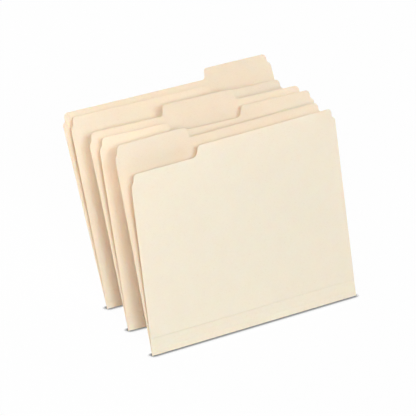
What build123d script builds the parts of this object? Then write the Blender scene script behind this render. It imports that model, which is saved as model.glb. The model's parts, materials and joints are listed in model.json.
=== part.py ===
"""A set of three letter-size manila file folders, standing fanned and slightly open.

Each folder is one die-cut sheet, creased into panels: a back leaf with the tab, a rounded
bottom fold, three narrow strips between the score lines, and a front leaf with an undercut
that shows the tab. The panels turn about the fold and about the score lines.

Frame: origin under the middle of the centre folder's fold, +X along that fold, +Y to the
back, +Z up from the surface that the folders stand on. Millimetres and degrees.
"""
import os

from build123d import *

os.makedirs("parts", exist_ok=True)

# Sheet and die-cut outline; tabs and undercuts lie a little to either side of even thirds
folder_width = 298.45
back_height = 228.6
front_height = 222.25
tab_height = 12.7
undercut_depth = 12.7
sheet_thickness = 0.28
tabs_across = 3
tab_aside = 6.8
undercut_aside = -2.8
step_run = 2.5
step_head_radius = 4.0
tab_foot_radius = 4.0
undercut_foot_radius = 8.5
end_inset = 4.2
end_drop = 9.0
end_slope = 4.0
end_radius = 3.0
corner_radius = 5.5

# Creases
score_pitch = 6.35
score_count = 3
score_radius = 0.25
leaf_gap = 0.1
crease_clearance = 0.05
fold_flat = 0.1

# Stance of the folders that flank the centre one: their folds' places and turns about Z
left_fold_aside = -12.1
left_fold_ahead = 55.9
left_turn_angle = 3.7
right_fold_aside = 10.5
right_fold_behind = 61.1
right_turn_angle = 1.0

# How far each leaf leans to the back, from upright
left_front_lean_angle = 16.7
left_back_lean_angle = 22.6
centre_front_lean_angle = 21.9
centre_back_lean_angle = 27.0
right_front_lean_angle = 25.6
right_back_lean_angle = 29.6

# The fold wraps both sheets, and is pressed flat where it stands on the surface
fold_radius = leaf_gap + sheet_thickness
fold_height = fold_radius - fold_flat
panel_start = fold_radius + crease_clearance
front_leaf_start = score_count * score_pitch + score_radius + crease_clearance

# Tab position, fold place, turn about Z, and the leans of the two leaves
stances = {
    "left": (
        0,
        (left_fold_aside, -left_fold_ahead),
        left_turn_angle,
        left_front_lean_angle,
        left_back_lean_angle,
    ),
    "centre": (1, (0.0, 0.0), 0.0, centre_front_lean_angle, centre_back_lean_angle),
    "right": (
        2,
        (right_fold_aside, right_fold_behind),
        right_turn_angle,
        right_front_lean_angle,
        right_back_lean_angle,
    ),
}


def top_end(side, level):
    """Corners at one end of a top edge, from the edge's rounded corner down to the full width."""
    outer = side * folder_width / 2
    inner = outer - side * end_inset
    return [
        (inner, level, corner_radius),
        (inner, level - end_drop, end_radius),
        (outer, level - end_drop - end_slope, end_radius),
    ]


def leaf_outline(start, height, position, rise, aside, foot_radius):
    """Corners and radii of a leaf whose top edge rises or drops by `rise` over one tab position.

    The steps lie `aside` of even divisions of the width. Each has the same radius at its head.
    """
    tab_width = folder_width / tabs_across
    first = position * tab_width - folder_width / 2 + aside
    last = first + tab_width
    levels = [height + rise if place == position else height for place in (0, tabs_across - 1)]
    corners = [(-folder_width / 2, start, 0)]
    corners += reversed(top_end(-1, levels[0]))
    for edge, before, after in ((first, height, height + rise), (last, height + rise, height)):
        if abs(edge) < folder_width / 2 - tab_width / 2:
            before_radius = foot_radius if before < after else step_head_radius
            after_radius = step_head_radius if before < after else foot_radius
            corners.append((edge - step_run / 2, before, before_radius))
            corners.append((edge + step_run / 2, after, after_radius))
    corners += top_end(1, levels[1])
    corners.append((folder_width / 2, start, 0))
    points = [(x, y) for x, y, radius in corners]
    radii = [radius for x, y, radius in corners]
    return points, radii


def leaf_plane(fold_axis, lean):
    """Plane through the fold's axis along a leaf: x along the fold, y up the leaf, z to the front."""
    normal = Vector(0, 0, 1).rotate(Axis((0, 0, 0), fold_axis.direction), 90 - lean)
    return Plane(fold_axis.position, x_dir=fold_axis.direction, z_dir=normal)


for name, (position, place, turn, front_lean, back_lean) in stances.items():
    along = Vector(1, 0, 0).rotate(Axis.Z, turn)
    across = Vector(0, 1, 0).rotate(Axis.Z, turn)
    fold_axis = Axis((*place, fold_height), along)
    fold_end = Plane(fold_axis.position - along * folder_width / 2, x_dir=across, z_dir=along)
    front_plane = leaf_plane(fold_axis, front_lean)
    back_plane = leaf_plane(fold_axis, back_lean)

    # Back leaf with its tab
    points, radii = leaf_outline(
        panel_start, back_height, position, tab_height, tab_aside, tab_foot_radius
    )
    with BuildPart() as back_leaf:
        with BuildSketch(back_plane.offset(-leaf_gap)):
            with BuildLine():
                FilletPolyline(points, radius=radii, close=True)
            make_face()
        extrude(amount=-sheet_thickness)
    back_leaf.part.label = f"{name}_back_leaf"
    export_step(back_leaf.part, f"parts/{name}_back_leaf.step")

    # Rounded fold that the folder stands on
    with BuildPart() as bottom_fold:
        with BuildSketch(fold_end):
            Circle(fold_radius)
            with Locations((0, -fold_height)):
                Rectangle(
                    2 * fold_radius, fold_radius, align=(Align.CENTER, Align.MAX), mode=Mode.SUBTRACT
                )
        extrude(amount=folder_width)
    bottom_fold.part.label = f"{name}_bottom_fold"
    export_step(bottom_fold.part, f"parts/{name}_bottom_fold.step")

    # Strips between the score lines, each with the pressed bead of its upper score line
    for number in range(1, score_count + 1):
        strip_top = number * score_pitch
        below = panel_start if number == 1 else strip_top - score_pitch + score_radius + crease_clearance
        score_end = Plane(
            origin=front_plane.from_local_coords(
                (-folder_width / 2, strip_top, leaf_gap + sheet_thickness / 2)
            ),
            z_dir=along,
        )
        with BuildPart() as score_strip:
            with BuildSketch(front_plane.offset(leaf_gap)):
                with Locations((0, below)):
                    Rectangle(folder_width, strip_top - below, align=(Align.CENTER, Align.MIN))
            extrude(amount=sheet_thickness)
            with BuildSketch(score_end):
                Circle(score_radius)
            extrude(amount=folder_width)
        score_strip.part.label = f"{name}_score_strip_{number}"
        export_step(score_strip.part, f"parts/{name}_score_strip_{number}.step")

    # Front leaf, cut lower where the tab shows
    points, radii = leaf_outline(
        front_leaf_start, front_height, position, -undercut_depth, undercut_aside, undercut_foot_radius
    )
    with BuildPart() as front_leaf:
        with BuildSketch(front_plane.offset(leaf_gap)):
            with BuildLine():
                FilletPolyline(points, radius=radii, close=True)
            make_face()
        extrude(amount=sheet_thickness)
    front_leaf.part.label = f"{name}_front_leaf"
    export_step(front_leaf.part, f"parts/{name}_front_leaf.step")
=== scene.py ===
"""Three manila file folders, standing fanned and slightly open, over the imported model. Metres."""
import json
import math

import bmesh
import bpy
from mathutils import Matrix, Vector


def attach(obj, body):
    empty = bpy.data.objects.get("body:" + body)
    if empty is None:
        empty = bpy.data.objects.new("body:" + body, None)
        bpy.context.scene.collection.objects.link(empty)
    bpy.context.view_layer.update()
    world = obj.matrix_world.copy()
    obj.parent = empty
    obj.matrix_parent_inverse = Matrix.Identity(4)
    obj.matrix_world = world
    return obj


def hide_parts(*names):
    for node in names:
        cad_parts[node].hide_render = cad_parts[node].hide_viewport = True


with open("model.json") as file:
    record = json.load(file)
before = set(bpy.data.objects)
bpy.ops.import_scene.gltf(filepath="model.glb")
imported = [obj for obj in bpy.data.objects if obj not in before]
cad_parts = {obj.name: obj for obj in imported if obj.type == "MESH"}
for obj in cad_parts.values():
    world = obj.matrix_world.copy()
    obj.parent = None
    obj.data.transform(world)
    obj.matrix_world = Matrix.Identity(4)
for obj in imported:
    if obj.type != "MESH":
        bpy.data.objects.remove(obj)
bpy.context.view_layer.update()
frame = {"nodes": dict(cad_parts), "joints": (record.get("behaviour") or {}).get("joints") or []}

mm = 0.001
white = (1.0, 1.0, 1.0)
black = (0.0, 0.0, 0.0)

# Folders, each with the place of its tab counted from the left
folders = {"left": 0, "centre": 1, "right": 2}

# Sheet and die-cut outline; tabs and undercuts lie a little to either side of even thirds
folder_width = 298.45 * mm
back_height = 228.6 * mm
front_height = 222.25 * mm
tab_height = 12.7 * mm
undercut_depth = 12.7 * mm
sheet_thickness = 0.28 * mm
tabs_across = 3
tab_aside = 6.8 * mm
undercut_aside = -2.8 * mm
step_run = 2.5 * mm
step_head_radius = 4.0 * mm
tab_foot_radius = 4.0 * mm
undercut_foot_radius = 8.5 * mm
end_inset = 4.2 * mm
end_drop = 9.0 * mm
end_slope = 4.0 * mm
end_radius = 3.0 * mm
corner_radius = 5.5 * mm

# Creases: the gap is left above the third score line, where the front leaf bends
score_pitch = 6.35 * mm
score_count = 3
leaf_gap = 0.1 * mm
panel_start = 0.3 * mm
ridge_height = 0.12 * mm
ridge_width = 0.55 * mm
crease_gap = 0.14 * mm

# How far each leaf bows out of its plane, and the sheets' grid
leaf_bow = 1.4 * mm
cell = 8.0 * mm
ridge_cuts = 4
corner_steps = 8
sharp_angle = math.radians(50)

# Card: colours, roughness from smooth to rough patches, and depth of the grain
card_looks = {
    "manila_card": {
        "light": (0.975, 0.838, 0.685),
        "deep": (0.970, 0.826, 0.668),
        "rough_low": 0.52,
        "rough_high": 0.66,
        "grain_bump": 0.25,
    },
    "manila_cut_edge": {
        "light": (0.930, 0.812, 0.655),
        "deep": (0.900, 0.755, 0.575),
        "rough_low": 0.75,
        "rough_high": 0.9,
        "grain_bump": 0.6,
    },
}

# Formation of the card: noise scales per metre, coarse to fine, and the noise levels in use
cloud_scale, cloud_detail, cloud_roughness = 45.0, 3.0, 0.5
mottle_scale, mottle_detail, mottle_roughness = 420.0, 3.0, 0.6
grain_scale, grain_detail, grain_roughness = 3600.0, 2.0, 0.6
noise_low, noise_high = 0.3, 0.7
mottle_tint = (0.985, 0.978, 0.968)
grain_depth = 0.06 * mm
sheen = 0.3
scatter_share = 0.4
scatter_reach = 0.4 * mm
scatter_radii = (1.0, 0.6, 0.35)

# Fibres: how they lie, and noise scales along and across them
dark_fibres = {"turn": (0.0, 0.3, 0.5), "length_scale": 260.0, "width_scale": 3000.0}
pale_fibres = {"turn": (0.4, 0.9, 1.9), "length_scale": 300.0, "width_scale": 3400.0}
fibre_low, fibre_high = 0.66, 0.74
fibre_detail, fibre_roughness = 1.0, 0.5
dark_fibre_tint = (0.93, 0.89, 0.83)
pale_fibre_lift = (0.018, 0.018, 0.018)

# Floor: reach, sharpness and darkest level of the painted shadow where the folders touch it
floor_half = 6.0
floor_drop = 0.05 * mm
floor_colour = (0.9, 0.9, 0.9, 1.0)
floor_white_share = 0.97
painted_shadow_reach = 5.8 * mm
painted_shadow_power = 6.0
painted_shadow_darkest = 0.2
painted_shadow_samples = 16

# Lamps: distance, azimuth and elevation from the folders' middle, size, watts and colour
fill_level = 0.29
middle = Vector((0.0, 0.03, 0.11))
lamps = {
    "key_softbox": (4.0, -27.0, 29.0, (0.7, 0.7), 63.5, (0.71, 0.92, 1.0)),
    "axis_fill": (8.0, -36.4, 25.2, (1.2, 1.2), 169.0, (1.0, 0.76, 0.68)),
    "top_fill": (4.0, -40.0, 72.0, (1.4, 1.4), 20.0, white),
    "back_fill": (4.0, 180.0, 12.0, (2.4, 1.4), 110.0, white),
}

# Camera, fitted to the photograph's edges, for a square image of 416 pixels
image_pixels = 416
camera_place = (-4.7463, -6.3713, 3.8634)
camera_yaw = math.radians(36.401)
camera_pitch = math.radians(25.234)
camera_roll = math.radians(3.8703)
camera_focal_pixels = 7698.7
camera_near, camera_far = 0.1, 30.0
sensor_width_mm = 36.0


# Materials
def new_material(name):
    """An empty node material and its tree."""
    material = bpy.data.materials.new(name)
    material.use_nodes = True
    tree = material.node_tree
    tree.nodes.clear()
    return material, tree


def add_node(tree, kind, inputs=(), **settings):
    """A node with its settings; each input is a value, or a socket to link."""
    node = tree.nodes.new(kind)
    for key, value in settings.items():
        setattr(node, key, value)
    for key, value in dict(inputs).items():
        if isinstance(value, bpy.types.NodeSocket):
            tree.links.new(value, node.inputs[key])
        else:
            node.inputs[key].default_value = value
    return node


def ramp(tree, factor, stops):
    """Colour ramp over a list of places and colours."""
    node = add_node(tree, "ShaderNodeValToRGB", {"Fac": factor})
    elements = node.color_ramp.elements
    while len(elements) < len(stops):
        elements.new(0.5)
    for element, (place, colour) in zip(elements, stops):
        element.position = place
        element.color = (*colour, 1.0)
    return node.outputs["Color"]


def noise(tree, coords, scale, detail, roughness):
    """Noise from 0 to 1."""
    node = add_node(
        tree,
        "ShaderNodeTexNoise",
        {"Vector": coords, "Scale": scale, "Detail": detail, "Roughness": roughness},
    )
    return node.outputs["Fac"]


def fibres(tree, coords, turn, length_scale, width_scale):
    """Sparse fibres lying one way: 1 on a fibre, 0 between them."""
    stretched = add_node(
        tree,
        "ShaderNodeMapping",
        {"Vector": coords, "Rotation": turn, "Scale": (length_scale, width_scale, width_scale)},
    )
    grain = noise(tree, stretched.outputs["Vector"], 1.0, fibre_detail, fibre_roughness)
    return ramp(tree, grain, [(fibre_low, black), (fibre_high, white)])


def mix_colour(tree, factor, first, second, blend_type="MIX"):
    """Two colours, or colour sockets, blended by a factor.

    In colour mode the node's factor is input 0, its colours are inputs 6 and 7, and its result is
    output 2.
    """
    node = add_node(tree, "ShaderNodeMix", data_type="RGBA", blend_type=blend_type)
    for index, value in ((0, factor), (6, first), (7, second)):
        if isinstance(value, bpy.types.NodeSocket):
            tree.links.new(value, node.inputs[index])
        elif index == 0:
            node.inputs[index].default_value = value
        else:
            node.inputs[index].default_value = (*value, 1.0)
    return node.outputs[2]


def calculate(tree, operation, first, second):
    """The result of a sum on two values or sockets."""
    node = add_node(tree, "ShaderNodeMath", {0: first, 1: second}, operation=operation)
    return node.outputs["Value"]


def card_material(name, light, deep, rough_low, rough_high, grain_bump):
    """Buff card: cloudy formation, fine fibres both ways, and a faint calendered sheen."""
    material, tree = new_material(name)
    coords = add_node(tree, "ShaderNodeTexCoord").outputs["Object"]
    cloud = noise(tree, coords, cloud_scale, cloud_detail, cloud_roughness)
    mottle = noise(tree, coords, mottle_scale, mottle_detail, mottle_roughness)
    grain = noise(tree, coords, grain_scale, grain_detail, grain_roughness)

    colour = ramp(tree, cloud, [(noise_low, deep), (noise_high, light)])
    speckle = ramp(tree, mottle, [(noise_low, mottle_tint), (noise_high, white)])
    colour = mix_colour(tree, 1.0, colour, speckle, "MULTIPLY")
    dark = mix_colour(tree, fibres(tree, coords, **dark_fibres), white, dark_fibre_tint)
    colour = mix_colour(tree, 1.0, colour, dark, "MULTIPLY")
    pale = mix_colour(tree, fibres(tree, coords, **pale_fibres), black, pale_fibre_lift)
    colour = mix_colour(tree, 1.0, colour, pale, "ADD")

    rough = add_node(
        tree,
        "ShaderNodeMapRange",
        {
            "Value": mottle,
            "From Min": noise_low,
            "From Max": noise_high,
            "To Min": rough_low,
            "To Max": rough_high,
        },
    ).outputs["Result"]
    bump = add_node(
        tree,
        "ShaderNodeBump",
        {
            "Height": calculate(tree, "ADD", mottle, grain),
            "Strength": grain_bump,
            "Distance": grain_depth,
        },
    ).outputs["Normal"]
    shader = add_node(
        tree,
        "ShaderNodeBsdfPrincipled",
        {
            "Base Color": colour,
            "Roughness": rough,
            "Normal": bump,
            "Specular IOR Level": sheen,
            "Subsurface Weight": scatter_share,
            "Subsurface Radius": scatter_radii,
            "Subsurface Scale": scatter_reach,
        },
    )
    add_node(tree, "ShaderNodeOutputMaterial", {"Surface": shader.outputs["BSDF"]})
    return material


manila, cut_edge = [card_material(name, **look) for name, look in card_looks.items()]


# Sheets
def top_end(side, level):
    """Corners at one end of a top edge, from the edge's rounded corner down to the full width."""
    outer = side * folder_width / 2
    inner = outer - side * end_inset
    return [
        (inner, level, corner_radius),
        (inner, level - end_drop, end_radius),
        (outer, level - end_drop - end_slope, end_radius),
    ]


def leaf_corners(start, height, position, rise, aside, foot_radius):
    """Corners and radii of a leaf whose top edge rises or drops by `rise` over one tab position.

    The steps lie `aside` of even divisions of the width. Each has the same radius at its head.
    """
    tab_width = folder_width / tabs_across
    first = position * tab_width - folder_width / 2 + aside
    last = first + tab_width
    levels = [height + rise if place == position else height for place in (0, tabs_across - 1)]
    corners = [(-folder_width / 2, start, 0)]
    corners += reversed(top_end(-1, levels[0]))
    for edge, before, after in ((first, height, height + rise), (last, height + rise, height)):
        if abs(edge) < folder_width / 2 - tab_width / 2:
            before_radius = foot_radius if before < after else step_head_radius
            after_radius = step_head_radius if before < after else foot_radius
            corners.append((edge - step_run / 2, before, before_radius))
            corners.append((edge + step_run / 2, after, after_radius))
    corners += top_end(1, levels[1])
    corners.append((folder_width / 2, start, 0))
    return corners


def rounded(corners):
    """Outline points, with each corner rounded to its radius."""
    points = []
    for index, (x, y, radius) in enumerate(corners):
        corner = Vector((x, y))
        if radius == 0:
            points.append(corner)
            continue
        before = (Vector(corners[index - 1][:2]) - corner).normalized()
        after = (Vector(corners[(index + 1) % len(corners)][:2]) - corner).normalized()
        half = before.angle(after) / 2
        reach = radius / math.tan(half)
        centre = corner + (before + after).normalized() * radius / math.sin(half)
        first = (corner + before * reach - centre).normalized()
        last = (corner + after * reach - centre).normalized()
        points += [
            centre + first.slerp(last, step / corner_steps) * radius
            for step in range(corner_steps + 1)
        ]
    return points


def lines_between(low, high, spacing):
    """Evenly spaced grid lines between two levels, about one spacing apart."""
    count = max(1, round((high - low) / spacing))
    return [low + (high - low) * step / count for step in range(1, count)]


def ridge_lines(number):
    """Close grid lines over one score line, counted from the fold."""
    steps = range(-ridge_cuts, ridge_cuts + 1)
    return [number * score_pitch + step * ridge_width / ridge_cuts for step in steps]


def card_object(name, outline, x_lines, y_lines, shape, near, far, place):
    """A thick sheet cut to an outline, with a grid of points moved out of its plane by shape(x, y).

    The sheet lies between `near` and `far` of the panel's frame `place`; its rim has its own
    material.
    """
    bm = bmesh.new()
    bm.faces.new([bm.verts.new((x, y, 0)) for x, y in outline])
    for axis, lines in (((1, 0, 0), x_lines), ((0, 1, 0), y_lines)):
        for line in lines:
            bmesh.ops.bisect_plane(
                bm,
                geom=bm.verts[:] + bm.edges[:] + bm.faces[:],
                plane_co=Vector(axis) * line,
                plane_no=axis,
            )
    boundary = [edge for edge in bm.edges if edge.is_boundary]
    copied = bmesh.ops.duplicate(bm, geom=bm.verts[:] + bm.edges[:] + bm.faces[:])
    twin = copied["vert_map"]
    new_verts = {item for item in copied["geom"] if isinstance(item, bmesh.types.BMVert)}
    for edge in boundary:
        first, second = edge.verts
        rim = bm.faces.new((first, second, twin[second], twin[first]))
        rim.material_index = 1
    for vert in bm.verts:
        level = far if vert in new_verts else near
        vert.co.z = level + shape(vert.co.x, vert.co.y)
    bmesh.ops.recalc_face_normals(bm, faces=bm.faces)
    mesh = bpy.data.meshes.new(name)
    bm.to_mesh(mesh)
    bm.free()
    mesh.transform(place)
    mesh.shade_smooth()
    mesh.set_sharp_from_angle(angle=sharp_angle)
    mesh.materials.append(manila)
    mesh.materials.append(cut_edge)
    piece = bpy.data.objects.new(name, mesh)
    bpy.context.scene.collection.objects.link(piece)
    return piece


def panel_frame(node, joint):
    """Frame of a panel: x along the fold, y up the panel, z to the front, origin on the fold's axis."""
    along = Vector(joint["axis"])
    if along.x < 0:
        along.negate()
    normal = max(frame["nodes"][node].data.polygons, key=lambda face: face.area).normal.copy()
    if normal.y > 0:
        normal.negate()
    up = normal.cross(along)
    place = Matrix((along, up, normal)).transposed().to_4x4()
    place.translation = Vector(joint["pos_m"])
    return place


def bowed(side, height):
    """A leaf's bow: none at the fold, growing towards the free top edge, most along its middle."""
    def shape(x, y):
        rise = max(0.0, min(1.0, y / height)) ** 2
        return side * leaf_bow * rise * (1 - (2 * x / folder_width) ** 2)
    return shape


def ridged(x, y):
    """The raised lines that scoring leaves on the outside of the strips."""
    total = 0.0
    for number in range(1, score_count + 1):
        total += ridge_height * math.exp(-(((y - number * score_pitch) / (ridge_width / 2)) ** 2))
    return total


joints = {joint["name"]: joint for joint in frame["joints"]}
half = folder_width / 2
score_numbers = range(1, score_count + 1)
score_top = score_count * score_pitch
leaf_start = score_top + crease_gap
x_grid = lines_between(-half, half, cell)
strip_grid = [line for number in score_numbers for line in ridge_lines(number) if line < score_top]
front_grid = [line for line in ridge_lines(score_count) if line > leaf_start]
front_grid += lines_between(score_top + ridge_width, front_height, cell)
back_grid = lines_between(panel_start, back_height + tab_height, cell)
back_bend = bowed(-1, back_height)
front_bend = bowed(1, front_height)

for name, position in folders.items():
    fold = joints[f"{name}_open"]
    back_place = panel_frame(f"{name}_back_leaf", fold)
    front_place = panel_frame(f"{name}_front_leaf", fold)

    # Back leaf with its tab
    back = card_object(
        f"{name}_back_card",
        rounded(leaf_corners(
            panel_start, back_height, position, tab_height, tab_aside, tab_foot_radius
        )),
        x_grid,
        back_grid,
        back_bend,
        -leaf_gap,
        -leaf_gap - sheet_thickness,
        back_place,
    )
    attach(back, f"{name}_back")
    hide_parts(f"{name}_back_leaf")

    # Strips between the score lines
    strips = card_object(
        f"{name}_score_strips",
        [(-half, panel_start), (-half, score_top), (half, score_top), (half, panel_start)],
        x_grid,
        strip_grid,
        ridged,
        leaf_gap + sheet_thickness,
        leaf_gap,
        front_place,
    )
    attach(strips, f"{name}_strips")
    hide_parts(*[f"{name}_score_strip_{number}" for number in score_numbers])

    # Front leaf, cut lower where the tab shows
    front = card_object(
        f"{name}_front_card",
        rounded(leaf_corners(
            leaf_start, front_height, position, -undercut_depth, undercut_aside,
            undercut_foot_radius,
        )),
        x_grid,
        front_grid,
        lambda x, y: ridged(x, y) + front_bend(x, y),
        leaf_gap + sheet_thickness,
        leaf_gap,
        front_place,
    )
    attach(front, f"{name}_front")
    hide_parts(f"{name}_front_leaf")

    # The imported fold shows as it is, in the card's colour
    rod = frame["nodes"][f"{name}_bottom_fold"]
    rod.data.materials.clear()
    rod.data.materials.append(manila)


# Floor: white to the camera, with a faint real shadow of the folders and a painted contact shadow where
# they touch it
def seen_directly(tree):
    """1 for rays from the camera, mirror reflections and transmission, 0 for light that bounces."""
    path = add_node(tree, "ShaderNodeLightPath").outputs
    camera_or_glossy = calculate(tree, "MAXIMUM", path["Is Camera Ray"], path["Is Glossy Ray"])
    return calculate(tree, "MAXIMUM", camera_or_glossy, path["Is Transmission Ray"])


floor_mesh = bpy.data.meshes.new("floor")
floor_mesh.from_pydata(
    [
        (-floor_half, -floor_half, 0),
        (floor_half, -floor_half, 0),
        (floor_half, floor_half, 0),
        (-floor_half, floor_half, 0),
    ],
    [],
    [(0, 1, 2, 3)],
)
floor = bpy.data.objects.new("floor", floor_mesh)
floor.location.z = -floor_drop
bpy.context.scene.collection.objects.link(floor)

floor_white, tree = new_material("floor_white")
matte = add_node(tree, "ShaderNodeBsdfDiffuse", {"Color": floor_colour})
# Painted contact shadow: ambient occlusion darkens the floor's white glow near the folders, down to a
# set darkest level
painted_contact_shadow = add_node(
    tree, "ShaderNodeAmbientOcclusion", {"Distance": painted_shadow_reach}, samples=painted_shadow_samples
)
falloff = calculate(tree, "POWER", painted_contact_shadow.outputs["AO"], painted_shadow_power)
painted_shade = calculate(tree, "MAXIMUM", falloff, painted_shadow_darkest)
glow = add_node(tree, "ShaderNodeEmission", {"Color": (*white, 1.0), "Strength": painted_shade})
share = calculate(tree, "MULTIPLY", seen_directly(tree), floor_white_share)
blend = add_node(
    tree,
    "ShaderNodeMixShader",
    {"Fac": share, 1: matte.outputs["BSDF"], 2: glow.outputs["Emission"]},
)
add_node(tree, "ShaderNodeOutputMaterial", {"Surface": blend.outputs["Shader"]})
floor_mesh.materials.append(floor_white)

# White surroundings: plain fill light on the folders, full white to the camera
world = bpy.data.worlds.new("surroundings")
world.use_nodes = True
bpy.context.scene.world = world
tree = world.node_tree
tree.nodes.clear()
level = add_node(
    tree, "ShaderNodeMapRange", {"Value": seen_directly(tree), "To Min": fill_level, "To Max": 1.0}
).outputs["Result"]
sky = add_node(tree, "ShaderNodeBackground", {"Color": (*white, 1.0), "Strength": level})
add_node(tree, "ShaderNodeOutputWorld", {"Surface": sky.outputs["Background"]})


# Lamps
def towards(azimuth, elevation):
    """Direction from the folders to a lamp: azimuth 0 is in front, elevation is above the floor."""
    azimuth, elevation = math.radians(azimuth), math.radians(elevation)
    return Vector((
        math.sin(azimuth) * math.cos(elevation),
        -math.cos(azimuth) * math.cos(elevation),
        math.sin(elevation),
    ))


for name, (distance, azimuth, elevation, size, power, colour) in lamps.items():
    direction = towards(azimuth, elevation)
    lamp = bpy.data.lights.new(name, "AREA")
    lamp.color = colour
    lamp.shape = "RECTANGLE"
    lamp.size, lamp.size_y = size
    lamp.energy = power
    lamp_object = bpy.data.objects.new(name, lamp)
    lamp_object.location = middle + distance * direction
    lamp_object.rotation_euler = (-direction).to_track_quat("-Z", "Y").to_euler()
    bpy.context.scene.collection.objects.link(lamp_object)

# Camera
camera = bpy.data.cameras.new("camera")
camera.sensor_fit = "HORIZONTAL"
camera.sensor_width = sensor_width_mm
camera.lens = camera_focal_pixels * sensor_width_mm / image_pixels
camera.clip_start = camera_near
camera.clip_end = camera_far
forward = Vector((
    math.sin(camera_yaw) * math.cos(camera_pitch),
    math.cos(camera_yaw) * math.cos(camera_pitch),
    -math.sin(camera_pitch),
))
right = Vector((math.cos(camera_yaw), -math.sin(camera_yaw), 0.0))
up = right.cross(forward)
rolled_right = math.cos(camera_roll) * right + math.sin(camera_roll) * up
rolled_up = -math.sin(camera_roll) * right + math.cos(camera_roll) * up
camera_object = bpy.data.objects.new("camera", camera)
camera_matrix = Matrix((rolled_right, rolled_up, -forward)).transposed().to_4x4()
camera_matrix.translation = Vector(camera_place)
camera_object.matrix_world = camera_matrix
bpy.context.scene.collection.objects.link(camera_object)
bpy.context.scene.camera = camera_object

bpy.context.scene.view_settings.view_transform = "Standard"
